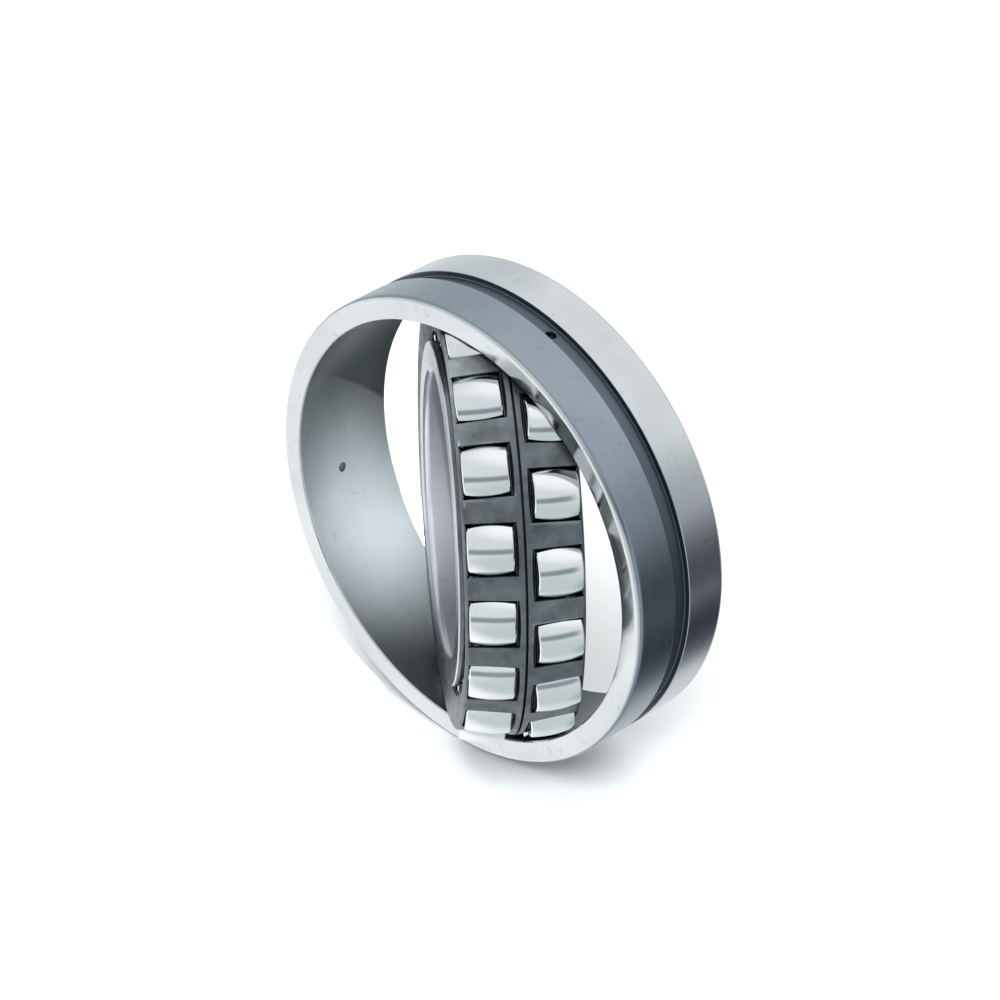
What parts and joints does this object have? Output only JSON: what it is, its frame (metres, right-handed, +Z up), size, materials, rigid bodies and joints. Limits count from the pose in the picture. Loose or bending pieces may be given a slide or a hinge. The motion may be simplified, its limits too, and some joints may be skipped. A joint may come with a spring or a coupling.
{
  "type": "spherical roller bearing",
  "caption": "Double-row bearing with barrel rollers in window cages; its inner ring swings inside a hollow-sphere raceway to take up shaft tilt.",
  "frame": {"origin": "centre of the spherical raceway, which is also the middle of the outer ring and of the inner ring's bore", "axes": "+Y along the outer ring's axis towards its rear face, -Y towards the front face, +Z up, the upright axis that the inner ring is swung about"},
  "size_m": [0.15, 0.1088, 0.15],
  "materials": {
    "outer_ring_steel": "ground and honed bearing steel",
    "inner_ring_steel": "ground and honed bearing steel",
    "guide_ring_steel": "sintered iron, dark",
    "cage_front_steel": "dark phosphated sheet steel, satin",
    "cage_rear_steel": "dark phosphated sheet steel, satin",
    "roller_steel": "superfinished bearing steel"
  },
  "bodies": {
    "outer_ring": {"outer_ring": "outer_ring_steel"},
    "inner_ring": {"inner_ring": "inner_ring_steel"},
    "guide_ring": {"guide_ring": "guide_ring_steel"},
    "cage_front": {"cage_front": "cage_front_steel"},
    "cage_rear": {"cage_rear": "cage_rear_steel"},
    "roller_front_01": {"roller_front_01": "roller_steel"},
    "roller_front_02": {"roller_front_02": "roller_steel"},
    "roller_front_03": {"roller_front_03": "roller_steel"},
    "roller_front_04": {"roller_front_04": "roller_steel"},
    "roller_front_05": {"roller_front_05": "roller_steel"},
    "roller_front_06": {"roller_front_06": "roller_steel"},
    "roller_front_07": {"roller_front_07": "roller_steel"},
    "roller_front_08": {"roller_front_08": "roller_steel"},
    "roller_front_09": {"roller_front_09": "roller_steel"},
    "roller_front_10": {"roller_front_10": "roller_steel"},
    "roller_front_11": {"roller_front_11": "roller_steel"},
    "roller_front_12": {"roller_front_12": "roller_steel"},
    "roller_front_13": {"roller_front_13": "roller_steel"},
    "roller_front_14": {"roller_front_14": "roller_steel"},
    "roller_front_15": {"roller_front_15": "roller_steel"},
    "roller_front_16": {"roller_front_16": "roller_steel"},
    "roller_front_17": {"roller_front_17": "roller_steel"},
    "roller_front_18": {"roller_front_18": "roller_steel"},
    "roller_rear_01": {"roller_rear_01": "roller_steel"},
    "roller_rear_02": {"roller_rear_02": "roller_steel"},
    "roller_rear_03": {"roller_rear_03": "roller_steel"},
    "roller_rear_04": {"roller_rear_04": "roller_steel"},
    "roller_rear_05": {"roller_rear_05": "roller_steel"},
    "roller_rear_06": {"roller_rear_06": "roller_steel"},
    "roller_rear_07": {"roller_rear_07": "roller_steel"},
    "roller_rear_08": {"roller_rear_08": "roller_steel"},
    "roller_rear_09": {"roller_rear_09": "roller_steel"},
    "roller_rear_10": {"roller_rear_10": "roller_steel"},
    "roller_rear_11": {"roller_rear_11": "roller_steel"},
    "roller_rear_12": {"roller_rear_12": "roller_steel"},
    "roller_rear_13": {"roller_rear_13": "roller_steel"},
    "roller_rear_14": {"roller_rear_14": "roller_steel"},
    "roller_rear_15": {"roller_rear_15": "roller_steel"},
    "roller_rear_16": {"roller_rear_16": "roller_steel"},
    "roller_rear_17": {"roller_rear_17": "roller_steel"},
    "roller_rear_18": {"roller_rear_18": "roller_steel"}
  },
  "joints": [
    {"name": "swivel", "type": "hinge", "parent": "outer_ring", "child": "guide_ring", "pos_m": [0, 0, 0], "axis": [0, 0, 1], "range_deg": [-52, 128]},
    {"name": "inner_spin", "type": "hinge", "parent": "guide_ring", "child": "inner_ring", "pos_m": [0, 0, 0], "axis": [0.6157, 0.788, 0], "continuous": true},
    {"name": "cage_front_spin", "type": "hinge", "parent": "guide_ring", "child": "cage_front", "pos_m": [0, 0, 0], "axis": [0.6157, 0.788, 0], "continuous": true},
    {"name": "cage_rear_spin", "type": "hinge", "parent": "guide_ring", "child": "cage_rear", "pos_m": [0, 0, 0], "axis": [0.6157, 0.788, 0], "continuous": true},
    {"name": "roller_front_01_spin", "type": "hinge", "parent": "cage_front", "child": "roller_front_01", "pos_m": [0.04169, -0.04385, 0.00335], "axis": [0.7244, 0.6894, 0.0082], "continuous": true},
    {"name": "roller_front_02_spin", "type": "hinge", "parent": "cage_front", "child": "roller_front_02", "pos_m": [0.03795, -0.04092, 0.02361], "axis": [0.7152, 0.6965, 0.0578], "continuous": true},
    {"name": "roller_front_03_spin", "type": "hinge", "parent": "cage_front", "child": "roller_front_03", "pos_m": [0.02896, -0.0339, 0.04104], "axis": [0.6932, 0.7137, 0.1004], "continuous": true},
    {"name": "roller_front_04_spin", "type": "hinge", "parent": "cage_front", "child": "roller_front_04", "pos_m": [0.01583, -0.02364, 0.05351], "axis": [0.6611, 0.7388, 0.1309], "continuous": true},
    {"name": "roller_front_05_spin", "type": "hinge", "parent": "cage_front", "child": "roller_front_05", "pos_m": [0.00012, -0.01137, 0.05952], "axis": [0.6227, 0.7688, 0.1456], "continuous": true},
    {"name": "roller_front_06_spin", "type": "hinge", "parent": "cage_front", "child": "roller_front_06", "pos_m": [-0.01626, 0.00143, 0.05836], "axis": [0.5826, 0.8001, 0.1427], "continuous": true},
    {"name": "roller_front_07_spin", "type": "hinge", "parent": "cage_front", "child": "roller_front_07", "pos_m": [-0.03134, 0.01321, 0.05016], "axis": [0.5458, 0.8289, 0.1227], "continuous": true},
    {"name": "roller_front_08_spin", "type": "hinge", "parent": "cage_front", "child": "roller_front_08", "pos_m": [-0.04329, 0.02255, 0.03591], "axis": [0.5165, 0.8518, 0.0878], "continuous": true},
    {"name": "roller_front_09_spin", "type": "hinge", "parent": "cage_front", "child": "roller_front_09", "pos_m": [-0.05069, 0.02833, 0.01733], "axis": [0.4984, 0.8659, 0.0424], "continuous": true},
    {"name": "roller_front_10_spin", "type": "hinge", "parent": "cage_front", "child": "roller_front_10", "pos_m": [-0.05263, 0.02985, -0.00335], "axis": [0.4937, 0.8696, -0.0082], "continuous": true},
    {"name": "roller_front_11_spin", "type": "hinge", "parent": "cage_front", "child": "roller_front_11", "pos_m": [-0.04889, 0.02692, -0.02361], "axis": [0.5028, 0.8625, -0.0578], "continuous": true},
    {"name": "roller_front_12_spin", "type": "hinge", "parent": "cage_front", "child": "roller_front_12", "pos_m": [-0.0399, 0.0199, -0.04104], "axis": [0.5248, 0.8453, -0.1004], "continuous": true},
    {"name": "roller_front_13_spin", "type": "hinge", "parent": "cage_front", "child": "roller_front_13", "pos_m": [-0.02677, 0.00964, -0.05351], "axis": [0.5569, 0.8202, -0.1309], "continuous": true},
    {"name": "roller_front_14_spin", "type": "hinge", "parent": "cage_front", "child": "roller_front_14", "pos_m": [-0.01106, -0.00263, -0.05952], "axis": [0.5953, 0.7902, -0.1456], "continuous": true},
    {"name": "roller_front_15_spin", "type": "hinge", "parent": "cage_front", "child": "roller_front_15", "pos_m": [0.00532, -0.01543, -0.05836], "axis": [0.6354, 0.7589, -0.1427], "continuous": true},
    {"name": "roller_front_16_spin", "type": "hinge", "parent": "cage_front", "child": "roller_front_16", "pos_m": [0.0204, -0.02721, -0.05016], "axis": [0.6723, 0.7301, -0.1227], "continuous": true},
    {"name": "roller_front_17_spin", "type": "hinge", "parent": "cage_front", "child": "roller_front_17", "pos_m": [0.03235, -0.03655, -0.03591], "axis": [0.7015, 0.7072, -0.0878], "continuous": true},
    {"name": "roller_front_18_spin", "type": "hinge", "parent": "cage_front", "child": "roller_front_18", "pos_m": [0.03975, -0.04233, -0.01733], "axis": [0.7196, 0.6931, -0.0424], "continuous": true},
    {"name": "roller_rear_01_spin", "type": "hinge", "parent": "cage_rear", "child": "roller_rear_01", "pos_m": [0.05083, -0.02844, 0.01672], "axis": [0.4981, 0.8662, -0.0409], "continuous": true},
    {"name": "roller_rear_02_spin", "type": "hinge", "parent": "cage_rear", "child": "roller_rear_02", "pos_m": [0.04359, -0.02278, 0.0354], "axis": [0.5158, 0.8523, -0.0866], "continuous": true},
    {"name": "roller_rear_03_spin", "type": "hinge", "parent": "cage_rear", "child": "roller_rear_03", "pos_m": [0.03175, -0.01353, 0.04981], "axis": [0.5447, 0.8297, -0.1218], "continuous": true},
    {"name": "roller_rear_04_spin", "type": "hinge", "parent": "cage_rear", "child": "roller_rear_04", "pos_m": [0.01674, -0.0018, 0.05821], "axis": [0.5815, 0.801, -0.1424], "continuous": true},
    {"name": "roller_rear_05_spin", "type": "hinge", "parent": "cage_rear", "child": "roller_rear_05", "pos_m": [0.00037, 0.01099, 0.05959], "axis": [0.6215, 0.7697, -0.1457], "continuous": true},
    {"name": "roller_rear_06_spin", "type": "hinge", "parent": "cage_rear", "child": "roller_rear_06", "pos_m": [-0.01539, 0.0233, 0.05379], "axis": [0.66, 0.7396, -0.1315], "continuous": true},
    {"name": "roller_rear_07_spin", "type": "hinge", "parent": "cage_rear", "child": "roller_rear_07", "pos_m": [-0.02862, 0.03364, 0.04149], "axis": [0.6924, 0.7144, -0.1015], "continuous": true},
    {"name": "roller_rear_08_spin", "type": "hinge", "parent": "cage_rear", "child": "roller_rear_08", "pos_m": [-0.03775, 0.04077, 0.02419], "axis": [0.7147, 0.6969, -0.0592], "continuous": true},
    {"name": "roller_rear_09_spin", "type": "hinge", "parent": "cage_rear", "child": "roller_rear_09", "pos_m": [-0.04166, 0.04383, 0.00397], "axis": [0.7243, 0.6894, -0.0097], "continuous": true},
    {"name": "roller_rear_10_spin", "type": "hinge", "parent": "cage_rear", "child": "roller_rear_10", "pos_m": [-0.03989, 0.04244, -0.01672], "axis": [0.7199, 0.6928, 0.0409], "continuous": true},
    {"name": "roller_rear_11_spin", "type": "hinge", "parent": "cage_rear", "child": "roller_rear_11", "pos_m": [-0.03265, 0.03678, -0.0354], "axis": [0.7022, 0.7067, 0.0866], "continuous": true},
    {"name": "roller_rear_12_spin", "type": "hinge", "parent": "cage_rear", "child": "roller_rear_12", "pos_m": [-0.02081, 0.02753, -0.04981], "axis": [0.6733, 0.7293, 0.1218], "continuous": true},
    {"name": "roller_rear_13_spin", "type": "hinge", "parent": "cage_rear", "child": "roller_rear_13", "pos_m": [-0.0058, 0.0158, -0.05821], "axis": [0.6366, 0.758, 0.1424], "continuous": true},
    {"name": "roller_rear_14_spin", "type": "hinge", "parent": "cage_rear", "child": "roller_rear_14", "pos_m": [0.01057, 0.00302, -0.05959], "axis": [0.5965, 0.7892, 0.1457], "continuous": true},
    {"name": "roller_rear_15_spin", "type": "hinge", "parent": "cage_rear", "child": "roller_rear_15", "pos_m": [0.02633, -0.00929, -0.05379], "axis": [0.558, 0.8193, 0.1315], "continuous": true},
    {"name": "roller_rear_16_spin", "type": "hinge", "parent": "cage_rear", "child": "roller_rear_16", "pos_m": [0.03956, -0.01964, -0.04149], "axis": [0.5256, 0.8446, 0.1015], "continuous": true},
    {"name": "roller_rear_17_spin", "type": "hinge", "parent": "cage_rear", "child": "roller_rear_17", "pos_m": [0.04869, -0.02677, -0.02419], "axis": [0.5033, 0.8621, 0.0592], "continuous": true},
    {"name": "roller_rear_18_spin", "type": "hinge", "parent": "cage_rear", "child": "roller_rear_18", "pos_m": [0.0526, -0.02982, -0.00397], "axis": [0.4937, 0.8696, 0.0097], "continuous": true}
  ],
  "couplings": [
    {"joint": "cage_front_spin", "follows": "inner_spin", "ratio": 0.42574},
    {"joint": "cage_rear_spin", "follows": "inner_spin", "ratio": 0.42574},
    {"joint": "roller_front_01_spin", "follows": "inner_spin", "ratio": -3.2568},
    {"joint": "roller_front_02_spin", "follows": "inner_spin", "ratio": -3.2568},
    {"joint": "roller_front_03_spin", "follows": "inner_spin", "ratio": -3.2568},
    {"joint": "roller_front_04_spin", "follows": "inner_spin", "ratio": -3.2568},
    {"joint": "roller_front_05_spin", "follows": "inner_spin", "ratio": -3.2568},
    {"joint": "roller_front_06_spin", "follows": "inner_spin", "ratio": -3.2568},
    {"joint": "roller_front_07_spin", "follows": "inner_spin", "ratio": -3.2568},
    {"joint": "roller_front_08_spin", "follows": "inner_spin", "ratio": -3.2568},
    {"joint": "roller_front_09_spin", "follows": "inner_spin", "ratio": -3.2568},
    {"joint": "roller_front_10_spin", "follows": "inner_spin", "ratio": -3.2568},
    {"joint": "roller_front_11_spin", "follows": "inner_spin", "ratio": -3.2568},
    {"joint": "roller_front_12_spin", "follows": "inner_spin", "ratio": -3.2568},
    {"joint": "roller_front_13_spin", "follows": "inner_spin", "ratio": -3.2568},
    {"joint": "roller_front_14_spin", "follows": "inner_spin", "ratio": -3.2568},
    {"joint": "roller_front_15_spin", "follows": "inner_spin", "ratio": -3.2568},
    {"joint": "roller_front_16_spin", "follows": "inner_spin", "ratio": -3.2568},
    {"joint": "roller_front_17_spin", "follows": "inner_spin", "ratio": -3.2568},
    {"joint": "roller_front_18_spin", "follows": "inner_spin", "ratio": -3.2568},
    {"joint": "roller_rear_01_spin", "follows": "inner_spin", "ratio": -3.2568},
    {"joint": "roller_rear_02_spin", "follows": "inner_spin", "ratio": -3.2568},
    {"joint": "roller_rear_03_spin", "follows": "inner_spin", "ratio": -3.2568},
    {"joint": "roller_rear_04_spin", "follows": "inner_spin", "ratio": -3.2568},
    {"joint": "roller_rear_05_spin", "follows": "inner_spin", "ratio": -3.2568},
    {"joint": "roller_rear_06_spin", "follows": "inner_spin", "ratio": -3.2568},
    {"joint": "roller_rear_07_spin", "follows": "inner_spin", "ratio": -3.2568},
    {"joint": "roller_rear_08_spin", "follows": "inner_spin", "ratio": -3.2568},
    {"joint": "roller_rear_09_spin", "follows": "inner_spin", "ratio": -3.2568},
    {"joint": "roller_rear_10_spin", "follows": "inner_spin", "ratio": -3.2568},
    {"joint": "roller_rear_11_spin", "follows": "inner_spin", "ratio": -3.2568},
    {"joint": "roller_rear_12_spin", "follows": "inner_spin", "ratio": -3.2568},
    {"joint": "roller_rear_13_spin", "follows": "inner_spin", "ratio": -3.2568},
    {"joint": "roller_rear_14_spin", "follows": "inner_spin", "ratio": -3.2568},
    {"joint": "roller_rear_15_spin", "follows": "inner_spin", "ratio": -3.2568},
    {"joint": "roller_rear_16_spin", "follows": "inner_spin", "ratio": -3.2568},
    {"joint": "roller_rear_17_spin", "follows": "inner_spin", "ratio": -3.2568},
    {"joint": "roller_rear_18_spin", "follows": "inner_spin", "ratio": -3.2568}
  ]
}
